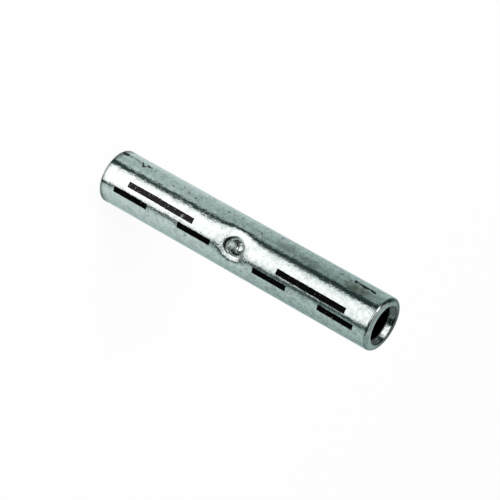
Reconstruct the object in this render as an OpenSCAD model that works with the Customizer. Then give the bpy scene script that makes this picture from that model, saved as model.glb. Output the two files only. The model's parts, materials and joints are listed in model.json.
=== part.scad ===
// Compression butt connector: a tin-plated copper tube that joins two conductors end to end.
// It stands on its lower end, with the punched stop facing the front (-Y).

/* [Sleeve] */
// Overall length of the tube
sleeve_length = 50; // [42:1:90]
// Outside diameter of the tube
outer_diameter = 8.5; // [7.5:0.1:12]
// Bore for the conductor
bore_diameter = 5.5; // [3.5:0.1:6.2]

/* [Ends] */
// Rounding of the outer edge at each end
edge_radius = 0.65; // [0.1:0.05:0.9]
// How much wider the mouth is than the bore, on the radius
flare_width = 0.4; // [0.1:0.05:0.5]
// How far the flare runs into the bore
flare_depth = 1.15; // [0.3:0.05:3]

/* [Stop] */
// Length of the dent that the punch leaves along the tube
dent_length = 6.4; // [5:0.1:9]
// Width of the dent across the tube
dent_width = 5.6; // [4.6:0.1:7]
// Depth of the dent at its middle
dent_depth = 0.7; // [0.2:0.05:0.7]
// Diameter of the punched dimple at its rim
punch_diameter = 3.1; // [2.6:0.1:4]
// Diameter of the dimple's round nose
punch_nose_diameter = 2.4; // [1.2:0.1:3]
// Depth of the dimple below the dent
punch_depth = 2.2; // [1.3:0.05:2.6]
// Share of the wall's thickness that is left under the dimple
stop_share = 0.55; // [0.4:0.05:0.9]
// How much the bore is drawn in round the stop, on the radius
bore_draw = 0.1; // [0.05:0.01:0.3]

/* [Crimp marks] */
// Width of each printed bar, measured round the tube
mark_width = 0.92; // [0.5:0.02:1.4]
// Length of each short bar
short_mark_length = 6.2; // [3:0.1:6.6]
// Bare length between a tube end and its first short bar
end_margin = 2.7; // [1:0.1:3.5]
// Bare length between the dent and the nearest short bar
dent_margin = 0.7; // [0.2:0.1:2]
// How far the long bar runs beside the outer short bar
outer_overlap = 4.15; // [0:0.05:6]
// How far the long bar runs beside the inner short bar
inner_overlap = 2.3; // [0:0.05:6]
// Turn from the long bar to the row of short bars, in degrees
row_turn = 22.6; // [20:0.1:60]
// Turn of the lower half's long bar from the front, in degrees
lower_turn = -4.4; // [-90:0.1:90]
// Turn of the upper half's long bar from the front, in degrees
upper_turn = 2.6; // [-90:0.1:90]
// Thickness of the ink
ink_thickness = 0.03; // [0.01:0.01:0.1]

/* [Hidden] */
$fn = 96;

tin_colour = [0.66, 0.69, 0.68];
ink_colour = [0.04, 0.04, 0.04];
front = -90;                              // direction of the front, as a turn about Z

outer_r = outer_diameter / 2;
bore_r = bore_diameter / 2;
wall = outer_r - bore_r;
mid = sleeve_length / 2;
clear = outer_diameter;                   // how far a cutter stands clear of the tube

// The rounding and the flare leave a flat ring between them, even in a thin wall
edge_share = 0.45;
flare_share = 0.3;
edge_r = min(edge_radius, edge_share * wall);
flare = min(flare_width, flare_share * wall);

// The dent is a ring-shaped cut: flatter than the tube across it, and hollow along it
dent_share = 0.7;                         // most of the tube's own curve that the dent can flatten
dent_drop = outer_r - sqrt(pow(outer_r, 2) - pow(dent_width / 2, 2));
dent = min(dent_depth, dent_share * dent_drop);
dent_across_r = arc_radius(dent_width, dent_drop - dent);
dent_along_r = arc_radius(dent_length, dent);
dent_floor = outer_r - dent;              // the dent's middle, measured from the tube's axis

// The dimple goes on from the dent: a round nose, with a wall that widens from it to the rim
punch_r = punch_diameter / 2;
nose_r = punch_nose_diameter / 2;
nose_mid = dent_floor - punch_depth + nose_r;
rim_height = dent_floor - nose_mid;
punch_taper = atan2(punch_r, rim_height) - asin(nose_r / norm([punch_r, rim_height]));

// The stop is the same shape, thicker by the metal that is left under the dimple
stop_r = nose_r + stop_share * wall;
stop_root = bore_r + wall / 2;            // where the stop ends inside the wall
draw_arc_r = arc_radius(dent_length, bore_draw);

// Each half's bars, measured from its own end of the tube
outer_short_start = end_margin;
inner_short_start = mid - dent_length / 2 - dent_margin - short_mark_length;
long_start = outer_short_start + short_mark_length - outer_overlap;
long_end = inner_short_start + inner_overlap;
mark_angle = mark_width / outer_r * 180 / PI;

// Radius of the arc that stands over a chord by a given rise
function arc_radius(chord, rise) = (pow(chord / 2, 2) + pow(rise, 2)) / (2 * rise);

// Half of the tube's wall in section, from its lower end to mid-length
module half_section() {
    difference() {
        union() {
            translate([bore_r, edge_r]) square([wall, mid - edge_r]);
            translate([bore_r, 0]) square([wall - edge_r, mid]);
            translate([outer_r - edge_r, edge_r]) circle(edge_r);
            drawn_in();
        }
        polygon([[0, 0], [bore_r + flare, 0], [bore_r, flare_depth], [0, flare_depth]]);
    }
}

// The shallow swell of the wall into the bore, beside the stop
module drawn_in() {
    intersection() {
        translate([bore_r - bore_draw + draw_arc_r, mid]) circle(draw_arc_r);
        translate([0, mid - dent_length / 2]) square([bore_r + wall / 2, dent_length / 2]);
    }
}

// The tube with its rounded ends and flared mouths
module tube() {
    rotate_extrude() {
        half_section();
        translate([0, sleeve_length]) mirror([0, 1]) half_section();
    }
}

// Places a shape that is drawn along +Z so that it points out of the front at mid-length
module at_stop() {
    translate([0, 0, mid]) rotate([90, 0, 0]) children();
}

// The shape of a tapered punch with a round nose, which widens upwards from the nose
module punch(radius) {
    translate([0, 0, nose_mid]) {
        sphere(radius);
        translate([0, 0, -radius * sin(punch_taper)])
            cylinder(h = clear,
                r1 = radius * cos(punch_taper),
                r2 = radius * cos(punch_taper) + clear * tan(punch_taper));
    }
}

// The metal that the punch pushes into the bore
module stop() {
    at_stop() intersection() {
        punch(stop_r);
        cylinder(h = stop_root, r = clear);
    }
}

// The wide shallow dent round the dimple
module dent() {
    translate([0, dent_across_r - dent_floor, mid])
        rotate_extrude() translate([dent_across_r + dent_along_r, 0]) circle(dent_along_r);
}

// The dimple itself
module dimple() {
    at_stop() punch(nose_r);
}

// The tin-plated copper sleeve, one piece of metal
module sleeve() {
    color(tin_colour) difference() {
        union() {
            tube();
            stop();
        }
        dent();
        dimple();
    }
}

// One printed bar, on the tube's own surface
module mark(start, end, turn) {
    rotate([0, 0, front + turn - mark_angle / 2])
        rotate_extrude(angle = mark_angle)
            translate([outer_r, start]) square([ink_thickness, end - start]);
}

// The three bars of the lower half
module mark_group(turn, short_turn) {
    mark(long_start, long_end, turn);
    for (start = [outer_short_start, inner_short_start])
        mark(start, start + short_mark_length, short_turn);
}

// The six bars of black ink that show where to crimp
module crimp_marks() {
    color(ink_colour) {
        mark_group(lower_turn, lower_turn + row_turn);
        translate([0, 0, sleeve_length]) mirror([0, 0, 1])
            mark_group(upper_turn, upper_turn + row_turn);
    }
}

sleeve();
crimp_marks();
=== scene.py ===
import json
import math
import random

import bmesh
import bpy
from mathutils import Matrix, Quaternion, Vector


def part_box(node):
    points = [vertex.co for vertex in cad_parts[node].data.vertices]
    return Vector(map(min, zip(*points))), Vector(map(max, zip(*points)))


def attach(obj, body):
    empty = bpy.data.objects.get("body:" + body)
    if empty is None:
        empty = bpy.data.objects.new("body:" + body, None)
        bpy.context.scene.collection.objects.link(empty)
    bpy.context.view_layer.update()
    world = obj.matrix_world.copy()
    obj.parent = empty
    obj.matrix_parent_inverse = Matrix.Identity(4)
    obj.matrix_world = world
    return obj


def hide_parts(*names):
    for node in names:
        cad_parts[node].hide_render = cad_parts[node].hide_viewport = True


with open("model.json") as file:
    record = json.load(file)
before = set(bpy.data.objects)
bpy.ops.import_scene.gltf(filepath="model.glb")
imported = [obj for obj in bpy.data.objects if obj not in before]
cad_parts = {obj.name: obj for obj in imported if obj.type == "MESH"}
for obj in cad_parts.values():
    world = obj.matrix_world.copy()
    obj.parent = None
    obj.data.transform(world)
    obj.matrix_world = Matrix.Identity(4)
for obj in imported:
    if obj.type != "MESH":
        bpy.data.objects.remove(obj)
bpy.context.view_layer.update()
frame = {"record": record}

# The sleeve
# One length of copper tube, rounded outside and flared inside at both cut ends, then plated with tin.
# A punch has pressed a round dimple into the wall at mid-length. The metal that it pushed in is the stop.
MM = 0.001
sleeve_low, sleeve_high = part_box("sleeve")
length = sleeve_high.z - sleeve_low.z
mid = length / 2
outer_r = sleeve_high.x
bore_r = frame["record"]["mounts"][0]["dims"]["r_mm"] * MM
flare_width = 0.4 * MM
flare_depth = 1.15 * MM
mouth_r = bore_r + flare_width
edge_r = 0.65 * MM                  # rounding outside, at the mouth and where the flare meets the bore
mouth_edge_r = 0.1 * MM
flare_end_r = 0.3 * MM
same_place = 0.001 * MM             # vertices this close to a circle are on it
around = 320                        # facets round the tube, over a rounded edge and down a flare
edge_steps = 10
fine_edge_steps = 4
flare_rows = 7

punch_across = 1.10 * MM            # half the width of the dimple's round nose, round the tube and along it
punch_along = 1.22 * MM
punch_floor = 2.9 * MM              # depth of the dimple's floor under the barrel's highest line
punch_slope = math.radians(85)      # steepness of its wall
nose_height = 0.8 * MM
lip_across = 0.44 * MM              # reach of its rounded lip, round the tube and along it
lip_along = 0.62 * MM
lip_depth = 0.46 * MM
punch_aside = 0.16 * MM             # how far the punch struck from the front line and from mid-length
punch_above = 0.18 * MM
stop_height = 2.2 * MM              # how far the pushed-in metal stands into the bore
stop_reach = 2.1 * MM
stop_zone = 5.5 * MM                # half of the length that the punch has moved
dish_depth = 0.66 * MM              # how deep the drawn-in wall would reach in the dimple's middle
dish_across = 2.05 * MM
dish_along = 2.3 * MM
dish_fade = 0.8 * stop_zone         # where the dish begins to run out
dish_polish = 0.8                   # how smooth the punch rubbed the dish, if the dimple is 1
polish_start = 0.1 * MM             # how far in the wall is where that polish starts and is full
polish_full = 0.6 * MM
zone_rows = 140                     # rows of facets along the punched length, outside and in the bore
bore_rows = 60
nose_rings, wall_rings, lip_rings, blend_rings = 12, 4, 8, 26
last_ring = nose_rings + wall_rings + lip_rings

# How far from the bore's wall the flare, its inner end and the wall reach, and how much each is in the bore
bore_shares = [(0.39 * MM, 0.35), (0.11 * MM, 0.45), (0.03 * MM, 1.0)]


def ease(value, start, end):
    """0 up to start, 1 from end on, and a smooth rise between them."""
    share = min(max((value - start) / (end - start), 0.0), 1.0)
    return share * share * (3 - 2 * share)


def from_axis(vert):
    """How far a vertex is from the tube's axis."""
    return math.hypot(vert.co.x, vert.co.y)


def ring_verts(mesh, radius, height):
    """The vertices that lie on one circle round the tube's axis."""
    return {vert for vert in mesh.verts if abs(from_axis(vert) - radius) < same_place
            and abs(vert.co.z - height) < same_place}


def round_rings(mesh, rings, radius, segments):
    """Rounds off the sharp rings at the given radii and heights."""
    edges = []
    for ring in rings:
        on_ring = ring_verts(mesh, *ring)
        edges += [edge for edge in mesh.edges if on_ring.issuperset(edge.verts)]
    bmesh.ops.bevel(mesh, geom=edges, offset=radius, offset_type="OFFSET", affect="EDGES",
                    segments=segments, profile=0.5, material=-1, clamp_overlap=False)


def flare_slopes(mesh):
    """The edges that run down the slope of either flare."""
    slopes = []
    for edge in mesh.edges:
        drop = abs(edge.verts[0].co.z - edge.verts[1].co.z)
        widest = max(from_axis(vert) for vert in edge.verts)
        if drop > flare_depth / 2 and bore_r + flare_width / 2 < widest < mouth_r + flare_width / 2:
            slopes.append(edge)
    return slopes


def barrel_drop(across):
    """Depth of the plain barrel under its highest line."""
    return outer_r - math.sqrt(max(outer_r ** 2 - across ** 2, 0))


def dished(across, along):
    """Depth of the drawn-in wall, at a place measured from the dimple's middle."""
    sunk = dish_depth * math.exp(-abs(across / dish_across) ** 3 - (along / dish_along) ** 2)
    return barrel_drop(across + punch_aside) + sunk * (1 - ease(abs(along), dish_fade, stop_zone))


def punched(ring, across_share, along_share):
    """A point of the dimple: its place across and along from the middle, and its depth.

    Ring 0 is the middle. The rings after it climb the nose, the wall and the lip.
    """
    nose = min(ring / nose_rings, 1) * punch_slope
    climb = min(max((ring - nose_rings) / wall_rings, 0), 1)
    steepness = (1 - min(max((ring - nose_rings - wall_rings) / lip_rings, 0), 1)) * punch_slope
    reach = math.sin(nose) / math.sin(punch_slope)
    opening = 1 - math.sin(steepness) / math.sin(punch_slope) if climb == 1 else 0
    across = across_share * (punch_across * reach + lip_across * opening)
    along = along_share * (punch_along * reach + lip_along * opening)
    nose_depth = punch_floor - nose_height * (1 - math.cos(nose)) / (1 - math.cos(punch_slope))
    rim_depth = dished(across, along) + lip_depth * (1 - math.cos(steepness))
    return across, along, nose_depth + (rim_depth - nose_depth) * climb


def round_off(column, row):
    """Which square ring of the grid of facets a vertex is on, and its place on a round ring of radius 1."""
    if abs(column) > abs(row):
        turn = row / column * math.pi / 4
        side = math.copysign(1, column)
        return abs(column), side * math.cos(turn), side * math.sin(turn)
    turn = column / row * math.pi / 4 if row else 0
    side = math.copysign(1, row)
    return abs(row), side * math.sin(turn), side * math.cos(turn)


def press_stop(mesh):
    """Pushes the wall in at mid-length as the punch did: a dish and a dimple outside, the stop inside."""
    pressed = mesh.verts.layers.float.new("pressed")
    facet = math.tau / around
    row_height = 2 * stop_zone / zone_rows
    for vert in mesh.verts:
        across = vert.co.x
        along = vert.co.z - mid
        if vert.co.y > 0 or abs(along) > stop_zone:
            continue
        if from_axis(vert) < (outer_r + bore_r) / 2:
            vert.co.y += stop_height * math.exp(-(math.hypot(across, along) / stop_reach) ** 4)
            continue
        column = math.atan2(across, -vert.co.y) / facet
        ring, across_share, along_share = round_off(column, along / row_height)
        rim_across, rim_along, depth = punched(min(ring, last_ring), across_share, along_share)
        rim_across += punch_aside
        rim_along += punch_above
        if ring > last_ring:
            further = (ring - last_ring) * row_height
            blend = ease(ring, last_ring, last_ring + blend_rings)
            across = (rim_across + across_share * further) * (1 - blend) + across * blend
            along = (rim_along + along_share * further) * (1 - blend) + along * blend
            depth = dished(across - punch_aside, along - punch_above)
            sunk = depth - barrel_drop(across)
            vert[pressed] = dish_polish * ease(sunk, polish_start, polish_full)
        else:
            across, along = rim_across, rim_along
            vert[pressed] = 1.0
        vert.co = Vector((across, depth - outer_r, mid + along))


def mark_bore(mesh):
    """Notes on each vertex how much it is in the bore."""
    in_bore = mesh.verts.layers.float.new("in_bore")
    for vert in mesh.verts:
        for reach, share in bore_shares:
            if from_axis(vert) - bore_r < reach:
                vert[in_bore] = share


def sleeve_mesh():
    """Spins the wall's section, rounds its edges and punches it."""
    mesh = bmesh.new()
    section = [(bore_r, flare_depth), (mouth_r, 0), (outer_r, 0),
               (outer_r, length), (mouth_r, length), (bore_r, length - flare_depth)]
    outline = [mesh.verts.new((radius, 0, height)) for radius, height in section]
    sides = [mesh.edges.new(pair) for pair in zip(outline, outline[1:] + outline[:1])]
    bmesh.ops.spin(mesh, geom=outline + sides, cent=(0, 0, 0), axis=(0, 0, 1),
                   angle=math.tau, steps=around, use_merge=True)
    bmesh.ops.recalc_face_normals(mesh, faces=mesh.faces)
    round_rings(mesh, [(outer_r, 0), (outer_r, length)], edge_r, edge_steps)
    round_rings(mesh, [(mouth_r, 0), (mouth_r, length)], mouth_edge_r, fine_edge_steps)
    flare_ends = [(bore_r, flare_depth), (bore_r, length - flare_depth)]
    round_rings(mesh, flare_ends, flare_end_r, fine_edge_steps)
    bmesh.ops.subdivide_edges(mesh, edges=flare_slopes(mesh), cuts=flare_rows - 1)
    for height in (mid - stop_zone, mid + stop_zone):
        bmesh.ops.bisect_plane(mesh, geom=mesh.verts[:] + mesh.edges[:] + mesh.faces[:],
                               plane_co=(0, 0, height), plane_no=(0, 0, 1))
    for radius, rows in ((outer_r, zone_rows), (bore_r, bore_rows)):
        ends = [ring_verts(mesh, radius, mid + end * stop_zone) for end in (-1, 1)]
        across_zone = [edge for edge in mesh.edges if all(not ring.isdisjoint(edge.verts) for ring in ends)]
        bmesh.ops.subdivide_edges(mesh, edges=across_zone, cuts=rows - 1)
    mark_bore(mesh)
    press_stop(mesh)
    return mesh


def finish_piece(mesh, name, material, smooth=True):
    """Turns a bmesh into an object whose faces point outwards."""
    bmesh.ops.recalc_face_normals(mesh, faces=mesh.faces)
    data = bpy.data.meshes.new(name)
    mesh.to_mesh(data)
    mesh.free()
    data.polygons.foreach_set("use_smooth", [smooth] * len(data.polygons))
    data.materials.append(material)
    piece = bpy.data.objects.new(name, data)
    bpy.context.scene.collection.objects.link(piece)
    return piece


class Field:
    """A value that changes over a surface. Arithmetic on it adds Math nodes to its paint."""

    def __init__(self, paint, socket):
        self.paint = paint
        self.socket = socket

    def __add__(self, other):
        return self.paint.math("ADD", self, other)

    def __radd__(self, other):
        return self.paint.math("ADD", other, self)

    def __sub__(self, other):
        return self.paint.math("SUBTRACT", self, other)

    def __rsub__(self, other):
        return self.paint.math("SUBTRACT", other, self)

    def __mul__(self, other):
        return self.paint.math("MULTIPLY", self, other)

    def __rmul__(self, other):
        return self.paint.math("MULTIPLY", other, self)

    def __truediv__(self, other):
        return self.paint.math("DIVIDE", self, other)

    def __rtruediv__(self, other):
        return self.paint.math("DIVIDE", other, self)

    def __neg__(self):
        return 0 - self

    def __abs__(self):
        return self.paint.math("ABSOLUTE", self)

    def most(self, other):
        """The larger of two values."""
        return self.paint.math("MAXIMUM", self, other)

    def rise(self, start, end):
        """0 up to start, 1 from end on, and smooth between them."""
        return self.paint.node("ShaderNodeMapRange", {"interpolation_type": "SMOOTHSTEP"},
                               {"Value": self, "From Min": start, "From Max": end})


def set_stops(elements, stops):
    """Gives a colour ramp its stops, each a position from 0 to 1 and a colour."""
    while len(elements) < len(stops):
        elements.new(1.0)
    for element, (position, colour) in zip(elements, stops):
        element.position = position
        element.color = colour


class Paint:
    """The nodes of one material, or of the world."""

    def __init__(self, owner):
        owner.use_nodes = True
        self.tree = owner.node_tree
        self.tree.nodes.clear()

    def node(self, kind, settings=None, sockets=None, out=0):
        """Adds a node: first its settings, or a ramp's stops, then the values or links of its sockets."""
        made = self.tree.nodes.new(kind)
        for name, value in (settings or {}).items():
            if name == "stops":
                set_stops(made.color_ramp.elements, value)
            else:
                setattr(made, name, value)
        for name, value in (sockets or {}).items():
            if isinstance(value, Field):
                self.tree.links.new(value.socket, made.inputs[name])
            else:
                made.inputs[name].default_value = value
        return Field(self, made.outputs[out]) if made.outputs else None

    def math(self, operation, *values):
        return self.node("ShaderNodeMath", {"operation": operation}, dict(enumerate(values)))

    def place(self):
        """The place on the piece, in metres."""
        return self.node("ShaderNodeTexCoord", out="Object")

    def axis(self, place, name):
        """One coordinate of a place: X, Y or Z."""
        return self.node("ShaderNodeSeparateXYZ", {}, {0: place}, out=name)

    def attribute(self, name):
        """A value that was noted on the piece's vertices."""
        return self.node("ShaderNodeAttribute", {"attribute_name": name}, out="Fac")

    def size(self, vector):
        """The length of a vector."""
        return self.node("ShaderNodeVectorMath", {"operation": "LENGTH"}, {0: vector}, out="Value")

    def distance(self, place, point):
        """How far a place is from a point."""
        sockets = {0: place, 1: point}
        return self.node("ShaderNodeVectorMath", {"operation": "DISTANCE"}, sockets, out="Value")

    def stretched(self, place, scale):
        """The place with each axis scaled, so that a pattern is drawn out along one of them."""
        return self.node("ShaderNodeMapping", {}, {"Vector": place, "Scale": scale})

    def noise(self, place, grain, detail=3.0):
        """Soft random mottling from 0 to 1 whose spots are about grain across, in metres."""
        return self.node("ShaderNodeTexNoise", {}, {"Vector": place, "Scale": 1 / grain, "Detail": detail})

    def mix(self, share, first, second):
        """A colour between two colours, which are a Mix node's sockets 6 and 7, with the result at 2."""
        sockets = {0: share, 6: first, 7: second}
        return self.node("ShaderNodeMix", {"data_type": "RGBA"}, sockets, out=2)

    def output(self, shader, kind="ShaderNodeOutputMaterial"):
        self.node(kind, {}, {"Surface": shader})


def rgb(red, green, blue):
    """An opaque colour."""
    return (red, green, blue, 1.0)


tin = rgb(0.98, 1.0, 0.99)
dull_tin = rgb(0.48, 0.50, 0.49)
punched_tin = rgb(0.30, 0.32, 0.31)
brown = rgb(0.36, 0.33, 0.29)
# Near black for scratches, nicks, the ends' line and specks, and for painted shade on the lip and mouth
soot_and_shade = rgb(0.05, 0.05, 0.05)
# Painted shade for the bore
bore_shade = rgb(0.02, 0.02, 0.02)
relief_height = 0.012 * MM
clean_turn = -7                     # the middle of the side without nicks, in degrees from the front
edge_line_darkness = 0.2                    # how dark the line on the rounded ends is, and the painted shade in the mouth and on the lip
mouth_shade = 0.75
lip_shade_strength = 0.92
punch_dulling = 0.1                 # how far the punch has dulled the dimple

# Where each change over the tin starts and where it is full
soiled_fade = (22, 34)              # degrees from the middle of the clean side
upper_fade = (0.4 * length, 0.7 * length)
mouth_fade = (length - 0.4 * MM, length - 0.1 * MM)
edge_line_start = (0.32 * MM, 0.44 * MM)
edge_line_end = (0.58 * MM, 0.74 * MM)
lip_shade_start = (0.70, 0.82)       # squared shares of the way from the dimple's middle to its rim
lip_shade_end = (0.94, 1.04)

# Brown stains: strength, turn and height of the middle, and half the width and height, in degrees and mm
stains = [(1.1, -49, 45.0, 15, 2.7), (0.5, -54, 48.3, 7, 0.6), (0.38, -49, 36.7, 12, 2.8),
          (0.45, -54, 32.3, 14, 2.4), (0.5, -49, 0.7, 16, 0.7)]

# Scratches: strength, first and last place as a turn in degrees and a height in mm, and half the width
scratches = [
    (1.5, (-64, 0.95), (-63.5, 1.45), 0.38), (0.6, (-63, 1.8), (-66, 2.7), 0.22),
    (0.55, (-66, 2.7), (-63, 3.8), 0.20), (0.5, (-63, 3.8), (-59, 4.4), 0.18),
    (1.1, (-66.5, 4.3), (-60, 4.75), 0.16), (1.2, (-60, 4.75), (-54.5, 5.05), 0.18),
    (1.0, (-54.5, 5.05), (-58, 5.4), 0.16), (1.2, (-64.5, 5.45), (-62, 5.95), 0.24),
    (0.5, (-67, 6.1), (-55, 6.65), 0.13), (0.8, (-62, 7.0), (-61, 7.1), 0.14),
    (0.6, (-49, 11.25), (-49, 11.35), 0.15), (0.4, (-67, 12.4), (-60, 12.8), 0.10),
    (0.6, (-60, 12.8), (-59, 12.9), 0.13), (0.6, (-53, 13.9), (-52, 14.1), 0.14),
    (0.7, (-50, 15.4), (-49, 15.6), 0.16), (0.5, (-60, 15.9), (-56, 16.2), 0.10),
    (0.7, (-62, 21.0), (-61.5, 21.2), 0.20), (0.4, (-74, 23.3), (-67, 23.4), 0.10),
    (0.6, (-66, 23.4), (-65, 23.45), 0.14), (0.6, (-54, 27.6), (-50, 27.8), 0.13),
    (0.7, (-77, 30.2), (-72, 30.45), 0.13), (0.6, (-66, 41.5), (-63, 41.6), 0.14),
    (0.5, (-61, 43.2), (-61, 43.4), 0.16), (1.3, (-66, 43.9), (-64, 44.1), 0.27),
    (1.1, (-65, 44.5), (-64, 44.9), 0.21), (1.5, (-64, 45.1), (-62.5, 46.15), 0.31),
    (0.5, (-65, 46.4), (-65, 46.5), 0.10), (1.5, (-64, 46.7), (-61.5, 47.4), 0.25),
    (0.7, (31, 17.0), (34, 16.7), 0.12), (0.4, (40.5, 16.0), (39.5, 16.3), 0.10),
    (0.5, (25, 9.65), (25, 9.75), 0.12), (0.8, (-72, 49.83), (-60, 49.80), 0.10),
    (0.6, (-60, 49.80), (-48, 49.78), 0.08)]

# Dark specks in the dimple: strength, reach and place, in mm
dimple_dark_specks = [(0.9, 0.60, (-0.47, -1.8, 24.4)), (0.5, 0.50, (0.97, -3.29, 24.27))]


def stain_cover(paint, place, turn, height, soiled_side):
    """How brown the tin is: faint clouds on the soiled side, and the stains."""
    cover = paint.noise(place, 2.8 * MM, 5.0).rise(0.56, 0.78) * soiled_side * 0.3
    cloud = paint.noise(place, 1.0 * MM, 4.0).rise(0.32, 0.60) * 0.6 + 0.4
    for strength, middle_turn, middle_height, half_turn, half_height in stains:
        across = (turn - middle_turn) / half_turn
        along = (height - middle_height * MM) / (half_height * MM)
        oval = 1 - (across * across + along * along).rise(0.2, 1.0)
        cover = cover.most(oval * cloud * strength)
    return cover


def scratch_cover(paint, place, turn, height):
    """How dark the tin is along its ragged scratches, which are drawn on the unrolled barrel in mm."""
    arc = turn * math.radians(outer_r / MM)
    unrolled = paint.node("ShaderNodeCombineXYZ", {}, {"X": arc, "Y": height / MM})
    ragged = (paint.noise(place, 0.25 * MM, 2.0) - 0.5) * 1.2
    cover = 0
    for strength, first, last, half_width in scratches:
        start, end = [Vector((math.radians(at[0]) * outer_r / MM, at[1], 0)) for at in (first, last)]
        run = end - start
        local = paint.node("ShaderNodeMapping", {"vector_type": "TEXTURE"}, {
            "Vector": unrolled, "Location": (start + end) / 2,
            "Rotation": (0, 0, math.atan2(run.y, run.x)),
            "Scale": (run.length / 2 + half_width, half_width, 1)})
        stroke = 1 - (paint.size(local) + ragged).rise(0.85, 1.25)
        cover = (stroke * strength).most(cover)
    return cover


def lip_shade(x, y, height):
    """Painted shade: a dark line along the lower side of the dimple's lip."""
    across = (x - punch_aside) / (punch_across + lip_across)
    along = (height - mid - punch_above) / (punch_along + lip_along)
    from_middle = across * across + along * along
    line = from_middle.rise(*lip_shade_start) - from_middle.rise(*lip_shade_end)
    lower_side = (across * -0.24 - along * 0.97).rise(0.05, 0.4)
    punched_half = (-y).rise(0, MM)
    return line * lower_side * punched_half


def tin_plating():
    """Satin tin: bright and mottled, with a fine grain, scuffs, dark nicks, scratches and brown stains."""
    material = bpy.data.materials.new("tin_plating")
    paint = Paint(material)
    place = paint.place()
    x, y, height = [paint.axis(place, name) for name in "XYZ"]
    turn = paint.math("ARCTAN2", x, -y) * math.degrees(1)
    in_bore = paint.attribute("in_bore")
    pressed = paint.attribute("pressed")
    upper_half = height.rise(*upper_fade)
    soiled_side = abs(turn - clean_turn).rise(*soiled_fade)

    ripple = paint.noise(place, 1.6 * MM, 2.0)
    mottle = paint.noise(place, 0.7 * MM, 6.0)
    grain = paint.noise(place, 0.3 * MM, 4.0)
    scuff = paint.noise(paint.stretched(place, (1, 1, 0.25)), 0.25 * MM)
    nicks = paint.noise(paint.stretched(place, (1, 1, 0.6)), 0.36 * MM).rise(0.62, 0.68)
    nicks = nicks * soiled_side * paint.noise(place, 5 * MM, 2.0).rise(0.42, 0.62)
    scratch = (nicks * 0.35).most(scratch_cover(paint, place, turn, height))
    scratch = scratch * (scuff.rise(0.3, 0.6) * 0.35 + 0.65)

    # The tin's own colour, then what lies on it
    coarser = upper_half * soiled_side
    dulled = (mottle - 0.5) * (coarser * 0.8 + 1.5) + (grain - 0.5) * (coarser * 1.5 + 1.1) + 0.3
    colour = paint.mix(dulled, tin, dull_tin)
    colour = paint.mix(stain_cover(paint, place, turn, height, soiled_side), colour, brown)
    colour = paint.mix(scratch, colour, soot_and_shade)

    # Darker line on the rounded ends, dark specks in the dimple, painted shade at the mouth's back, lip and
    # bore
    from_end = mid - abs(height - mid)
    edge_line = from_end.rise(*edge_line_start) - from_end.rise(*edge_line_end)
    edge_line = edge_line * paint.noise(place, 0.8 * MM).rise(0.25, 0.6)
    colour = paint.mix(edge_line * edge_line_darkness, colour, soot_and_shade)
    # Painted shade on the back half of the upper end face and flare
    mouth_back_shade = (y / outer_r).rise(-0.3, 0.7) * height.rise(*mouth_fade)
    colour = paint.mix(mouth_back_shade * mouth_shade, colour, soot_and_shade)
    colour = paint.mix(pressed.rise(0.85, 0.95) * punch_dulling, colour, punched_tin)
    for strength, reach, speck in dimple_dark_specks:
        shown = 1 - paint.distance(place, Vector(speck) * MM).rise(0.5 * reach * MM, reach * MM)
        colour = paint.mix(shown * strength, colour, soot_and_shade)
    # Painted shade on the lower side of the dimple's lip
    colour = paint.mix(lip_shade(x, y, height) * lip_shade_strength, colour, soot_and_shade)
    # Painted shade: the bore near black, its end bevel darker, and the flare's inner part darker on the
    # unlit side
    unlit_side = (x / bore_r).rise(0.5, 0.8)
    colour = paint.mix(in_bore * 2 - 0.7 + unlit_side * 0.4, colour, bore_shade)

    # The relief is smoother where the punch rubbed, and the flares are dull on two sides
    relief = ripple * 3.0 + mottle * 2.5 + grain * 1.9 + scuff * 0.6 - nicks * 0.5
    relief = relief * (1 - pressed * 0.9) * (1.2 - upper_half * 0.4)
    bump = paint.node("ShaderNodeBump", {}, {"Strength": 1.0, "Distance": relief_height, "Height": relief})
    dull_sides = (-(x / bore_r)).rise(0.3, 0.7) + unlit_side * (1 - (y / bore_r).rise(0.35, 0.6))
    dull_mouth = in_bore.rise(0.1, 0.3) * dull_sides
    roughness = 0.06 + grain * 0.08 + upper_half * 0.03 + scratch * 0.25 + dull_mouth * 0.5
    paint.output(paint.node("ShaderNodeBsdfPrincipled", {}, {
        "Base Color": colour, "Metallic": 1.0, "Roughness": roughness, "Normal": bump}))
    return material


sleeve = finish_piece(sleeve_mesh(), "sleeve_tube", tin_plating())
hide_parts("sleeve")
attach(sleeve, "root")

# The crimp marks
# Six bars of black ink printed on the barrel, three on each half. They show where the crimping tool presses.
# The film is thin, a little ragged at its edges and pricked with pinholes, and one long bar is worn brown.
ink_thickness = 0.03 * MM
mark_width = 0.92 * MM
edge_wobble = 0.02 * MM             # how far the ragged edges stray
bar_columns = 6
bar_rows = 41
ink_black = rgb(0.0012, 0.0012, 0.0012)
worn_ink = rgb(0.020, 0.017, 0.018)
bared_tin = rgb(0.26, 0.27, 0.26)
bare_spot = Vector((-0.13, -4.25, 15.5)) * MM
worn_bar, long_bar, short_bar = 1.0, 0.1, 0.0      # how far the ink is worn

# Each bar's wear, and its two ends as turns in degrees and heights in mm. The worn bar has a step half-way
printed = [(worn_bar, (-5.0, 5.07), (-4.9, 11.22)),
           (worn_bar, (-4.3, 11.24), (-3.5, 17.48)),
           (short_bar, (18.2, 2.97), (18.4, 9.31)),
           (short_bar, (18.2, 15.19), (18.6, 21.27)),
           (long_bar, (1.7, 33.09), (3.4, 45.46)),
           (short_bar, (24.3, 29.35), (24.6, 35.39)),
           (short_bar, (24.9, 41.12), (26.7, 47.36))]
uneven = random.Random(5)


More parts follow.
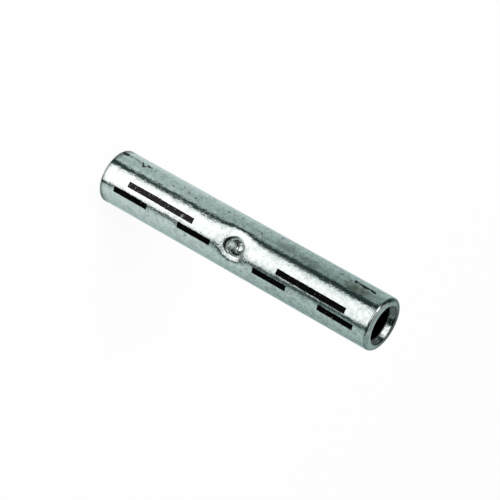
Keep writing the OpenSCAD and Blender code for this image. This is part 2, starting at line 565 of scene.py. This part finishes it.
def print_bar(mesh, worn, wear, first, last):
    """Prints one bar between two places, each a turn from the front and a height in mm."""
    half_angle = mark_width / outer_r / 2
    ends = []
    for turn, height in (first, last):
        edge_turn = math.radians(turn - 90) - half_angle
        corner = (outer_r * math.cos(edge_turn), outer_r * math.sin(edge_turn), height * MM)
        ends.append(mesh.verts.new(corner))
        ends[-1][worn] = wear
    side = mesh.edges.new(ends)
    bmesh.ops.spin(mesh, geom=ends + [side], cent=(0, 0, 0), axis=(0, 0, 1),
                   angle=2 * half_angle, steps=bar_columns)


def ink_mesh():
    """Prints the bars on the barrel, makes their edges ragged and gives the film its thickness."""
    mesh = bmesh.new()
    worn = mesh.verts.layers.float.new("worn")
    for wear, first, last in printed:
        print_bar(mesh, worn, wear, first, last)
    tall = [edge for edge in mesh.edges if abs(edge.verts[0].co.z - edge.verts[1].co.z) > MM]
    bmesh.ops.subdivide_edges(mesh, edges=tall, cuts=bar_rows - 1)
    for vert in mesh.verts:
        if vert.is_boundary:
            vert.co += Vector([uneven.uniform(-1, 1) * edge_wobble for axis in range(3)])
        on_barrel = Vector((vert.co.x, vert.co.y, 0)).normalized() * outer_r
        vert.co.x, vert.co.y = on_barrel.x, on_barrel.y
    bmesh.ops.recalc_face_normals(mesh, faces=mesh.faces)
    bmesh.ops.solidify(mesh, geom=mesh.faces[:], thickness=-ink_thickness)
    return mesh


def black_ink():
    """Matt black ink with pale pinholes, which is brown and more broken where it is worn."""
    material = bpy.data.materials.new("black_ink")
    paint = Paint(material)
    place = paint.place()
    worn = paint.attribute("worn")
    pinholes = (paint.noise(place, 0.26 * MM, 2.0) + worn * 0.07).rise(0.72, 0.78)
    from_bare = paint.distance(place, bare_spot) / MM + paint.noise(place, 0.3 * MM)
    pinholes = pinholes.most(1 - from_bare.rise(0.6, 0.85))
    colour = paint.mix(worn, ink_black, worn_ink)
    colour = paint.mix(pinholes, colour, bared_tin)
    paint.output(paint.node("ShaderNodeBsdfPrincipled", {}, {
        "Base Color": colour, "Roughness": 0.7, "Specular IOR Level": 0.02}))
    return material


marks = finish_piece(ink_mesh(), "crimp_mark_ink", black_ink())
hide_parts("crimp_marks")
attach(marks, "root")

# The camera
# It looks down on the sleeve's upper end from the punched side, and is rolled to lay the sleeve across the
# frame, as if the sleeve were lying down.
view_turn = -9.1                    # in degrees from the front, and above the level
view_height = 25.9
view_roll = 119.4
view_distance = 337 * MM
view_lens = 165.8                   # in millimetres, as camera makers give it
sensor_width = 36
view_right = 0.624 * MM             # how far the camera is moved sideways and up in its own view
view_up = -0.331 * MM

turn, rise = math.radians(view_turn), math.radians(view_height)
towards = Vector((math.sin(turn) * math.cos(rise), -math.cos(turn) * math.cos(rise), math.sin(rise)))
aim = (-towards).to_track_quat("-Z", "Y") @ Quaternion((0, 0, 1), math.radians(view_roll))
camera = bpy.data.objects.new("camera", bpy.data.cameras.new("camera"))
camera.data.lens = view_lens
camera.data.sensor_width = sensor_width
camera.data.clip_start = 10 * MM
camera.data.clip_end = 10
camera.rotation_mode = "QUATERNION"
camera.rotation_quaternion = aim
camera.location = (Vector((0, 0, mid)) + towards * view_distance
                   + aim @ Vector((view_right, view_up, 0)))
bpy.context.scene.collection.objects.link(camera)
bpy.context.scene.camera = camera

# The floor
# A plain white table top, which looks white to the camera and in the metal and keeps a faint shadow.
floor_size = 4.0
shadow_share = 0.1
white = rgb(1, 1, 1)
matt_white = rgb(0.9, 0.9, 0.9)


def white_to_view(paint):
    """1 for the rays that see the background: from the camera, off metal or through glass."""
    seen = [paint.node("ShaderNodeLightPath", out=name)
            for name in ("Is Camera Ray", "Is Glossy Ray", "Is Transmission Ray")]
    return seen[0].most(seen[1]).most(seen[2])


def floor_white():
    """White that glows to the view, mixed with a little matt white that takes the shadow."""
    material = bpy.data.materials.new("floor_white")
    paint = Paint(material)
    lit = paint.node("ShaderNodeBsdfDiffuse", {}, {"Color": matt_white})
    glow = paint.node("ShaderNodeEmission", {}, {"Color": white, "Strength": 1.0})
    share = white_to_view(paint) * (1 - shadow_share)
    paint.output(paint.node("ShaderNodeMixShader", {}, {0: share, 1: lit, 2: glow}))
    return material


floor_mesh = bmesh.new()
bmesh.ops.create_grid(floor_mesh, x_segments=1, y_segments=1, size=floor_size / 2)
floor = finish_piece(floor_mesh, "floor", floor_white())

# The reflector
# Painted card round the sleeve, seen only in its metal, as in a product studio. It lies on the floor from
# the sleeve's foot outwards, stands up and closes overhead, with bands from grey through black to white.
# The card glows, so its bands are painted reflections in the metal.
card_reach = 150 * MM
card_height = 300 * MM
card_lift = 0.05 * MM
card_steps = 120
card_black = rgb(0.010, 0.020, 0.020)
steep_grey = rgb(0.24, 0.30, 0.29)
high_grey = rgb(0.30, 0.36, 0.35)
overhead_grey = rgb(0.14, 0.17, 0.16)

# Where each change over the card starts and is full, out from the sleeve's axis or up from the floor
contact_fade = (outer_r + 0.6 * MM, outer_r + 1.4 * MM)
far_fade = (12 * MM, 95 * MM)
strip_start = (30 * MM, 34 * MM)
strip_end = (60 * MM, 68 * MM)
standing_fade = (64 * MM, 74 * MM)
patch_fade = (95 * MM, 110 * MM)
high_fade = (170 * MM, 210 * MM)
lid_fade = (card_height - 2 * MM, card_height - 1 * MM)
lid_edge = (30 * MM, 80 * MM)
patch_left = (-21, -13)             # the patch's sides, as angles on the barrel
patch_right = (25, 50)

# The bands at the sleeve's foot, further out on the floor and high on the standing card. Each brightness
# has the angle on the barrel where the camera sees it, in degrees from the line that faces the camera.
foot_bands = [
    (-90, 0.78), (-60, 0.60), (-45, 0.48), (-34, 0.52), (-28.7, 0.70), (-26.9, 0.05), (-17.1, 0.05),
    (-15.8, 1.0), (-12, 1.1), (-4, 1.4), (4, 1.35), (14, 1.25), (21.3, 1.05), (22.8, 0.03), (26.7, 0.03),
    (29.6, 0.57), (40, 0.68), (60, 0.54), (74, 0.48), (82, 0.68), (90, 1.1)]
far_bands = [
    (-90, 1.0), (-82, 0.7), (-74, 0.49), (-60, 0.43), (-45, 0.33), (-36, 0.26), (-30.5, 0.32), (-28.5, 0.03),
    (-17.7, 0.03), (-15.7, 0.75), (-12, 0.95), (-4, 1.16), (4, 1.12), (14, 1.02), (18, 0.85), (20, 0.05),
    (26.4, 0.05), (28.4, 0.45), (38, 0.52), (60, 0.40), (74, 0.35), (82, 0.58), (90, 1.0)]
standing_bands = [
    (-90, 0.40), (-78, 0.16), (-66, 0.05), (-45, 0.012), (-34, 0.012), (-29, 0.9), (-21, 1.6), (-9, 1.5),
    (-2, 1.4), (3, 1.1), (7, 0.3), (10, 0.015), (29, 0.015), (35, 0.36), (45, 0.34), (60, 0.26), (90, 0.40)]


def card_colour(level):
    """Paint of one brightness: greenish where it is dark, and nearly white where it is bright."""
    red = min(0.4 + 2.0 * level, 0.63 + 0.31 * level, 0.965)
    blue = min(0.95 + 0.05 * level, 0.99)
    return rgb(red * level, level, blue * level)


def reflector_card():
    """Card that glows in bands, each laid where the barrel mirrors it."""
    material = bpy.data.materials.new("reflector_card")
    paint = Paint(material)
    place = paint.place()
    height = paint.axis(place, "Z")
    outwards = paint.size(paint.stretched(place, (1, 1, 0)))
    seen_at = paint.attribute("seen_at")
    facing = paint.node("ShaderNodeLayerWeight", out="Facing")

    # The rounded foot and the dimple see the floor part steeply, where it is greyer and its bands shift
    steep = (1 - facing).rise(0.70, 0.94) * (1 - height.rise(0.2 * MM, 0.4 * MM))
    share = (seen_at + seen_at.most(0) * steep * 0.2 + 90) / 180

    def painted(bands):
        stops = [((angle + 90) / 180, card_colour(level)) for angle, level in bands]
        return paint.node("ShaderNodeValToRGB", {"stops": stops}, {"Fac": share})

    colour = paint.mix(outwards.rise(*far_fade), painted(foot_bands), painted(far_bands))
    colour = paint.mix(height.rise(*standing_fade), colour, painted(standing_bands))
    colour = paint.mix(steep * 0.75, colour, steep_grey)

    # Black close to the sleeve's foot, in a strip round the card and in a patch above, then greys overhead
    # Painted contact shadow: the card is black where it meets the sleeve's foot
    contact = 1 - outwards.rise(*contact_fade)
    strip = height.rise(*strip_start) - height.rise(*strip_end)
    strip = strip * (1 - abs(seen_at).rise(30, 50) * 0.27)
    patch = height.rise(*patch_fade) * (seen_at.rise(*patch_left) - seen_at.rise(*patch_right))
    colour = paint.mix((contact * 0.6).most(patch * 0.9).most(strip * 0.95), colour, card_black)
    colour = paint.mix(height.rise(*high_fade), colour, high_grey)
    lid = height.rise(*lid_fade) * (1 - outwards.rise(*lid_edge))
    colour = paint.mix(lid, colour, overhead_grey)
    paint.output(paint.node("ShaderNodeEmission", {}, {"Color": colour, "Strength": 1.0}))
    material.cycles.emission_sampling = "NONE"
    return material


def reflector_mesh():
    """Card that runs out from the sleeve's foot along mirrored lines of sight, then up, then in overhead."""
    mesh = bmesh.new()
    seen_at = mesh.verts.layers.float.new("seen_at")
    facing = math.radians(view_turn - 90)
    angles = [180 * step / card_steps - 90 for step in range(card_steps + 1)]
    foot = []
    for place, angle in zip([-180, *angles, 180], [-90, *angles, 90]):
        normal = facing + math.radians(place)
        foot.append(mesh.verts.new((outer_r * math.cos(normal), outer_r * math.sin(normal), card_lift)))
        foot[-1][seen_at] = angle
    edges = [mesh.edges.new(pair) for pair in zip(foot, foot[1:])]
    for reach, height in ((card_reach, 0), (0, card_height), (-card_reach, 0)):
        grown = bmesh.ops.extrude_edge_only(mesh, edges=edges)["geom"]
        edges = [part for part in grown if isinstance(part, bmesh.types.BMEdge)]
        for vert in (part for part in grown if isinstance(part, bmesh.types.BMVert)):
            mirrored = facing + 2 * math.radians(vert[seen_at])
            vert.co += Vector((reach * math.cos(mirrored), reach * math.sin(mirrored), height))
    return mesh


def show_in_metal_only(piece):
    """Hides a piece from every ray but those off the metal."""
    for ray in ("camera", "diffuse", "transmission", "volume_scatter", "shadow"):
        setattr(piece, "visible_" + ray, False)


reflector = finish_piece(reflector_mesh(), "reflector", reflector_card(), smooth=False)
show_in_metal_only(reflector)

# The light
# One large soft lamp above the front, which the metal doesn't show, and an even white surround.
lamp_size = 0.6
lamp_power = 6.0
lamp_place = Vector((-0.3, -0.45, 0.8))
surround_light = 0.6

lamp = bpy.data.lights.new("soft_lamp", "AREA")
lamp.shape = "DISK"
lamp.size = lamp_size
lamp.energy = lamp_power
lamp_object = bpy.data.objects.new("soft_lamp", lamp)
lamp_object.location = lamp_place
lamp_object.rotation_mode = "QUATERNION"
lamp_object.rotation_quaternion = (-lamp_place).to_track_quat("-Z", "Y")
lamp_object.visible_glossy = False
bpy.context.scene.collection.objects.link(lamp_object)

surround = bpy.data.worlds.new("surround")
bpy.context.scene.world = surround
surround_paint = Paint(surround)
background = surround_paint.node("ShaderNodeBackground", {}, {
    "Color": white, "Strength": white_to_view(surround_paint) * (1 - surround_light) + surround_light})
surround_paint.output(background, "ShaderNodeOutputWorld")

bpy.context.scene.view_settings.view_transform = "Standard"
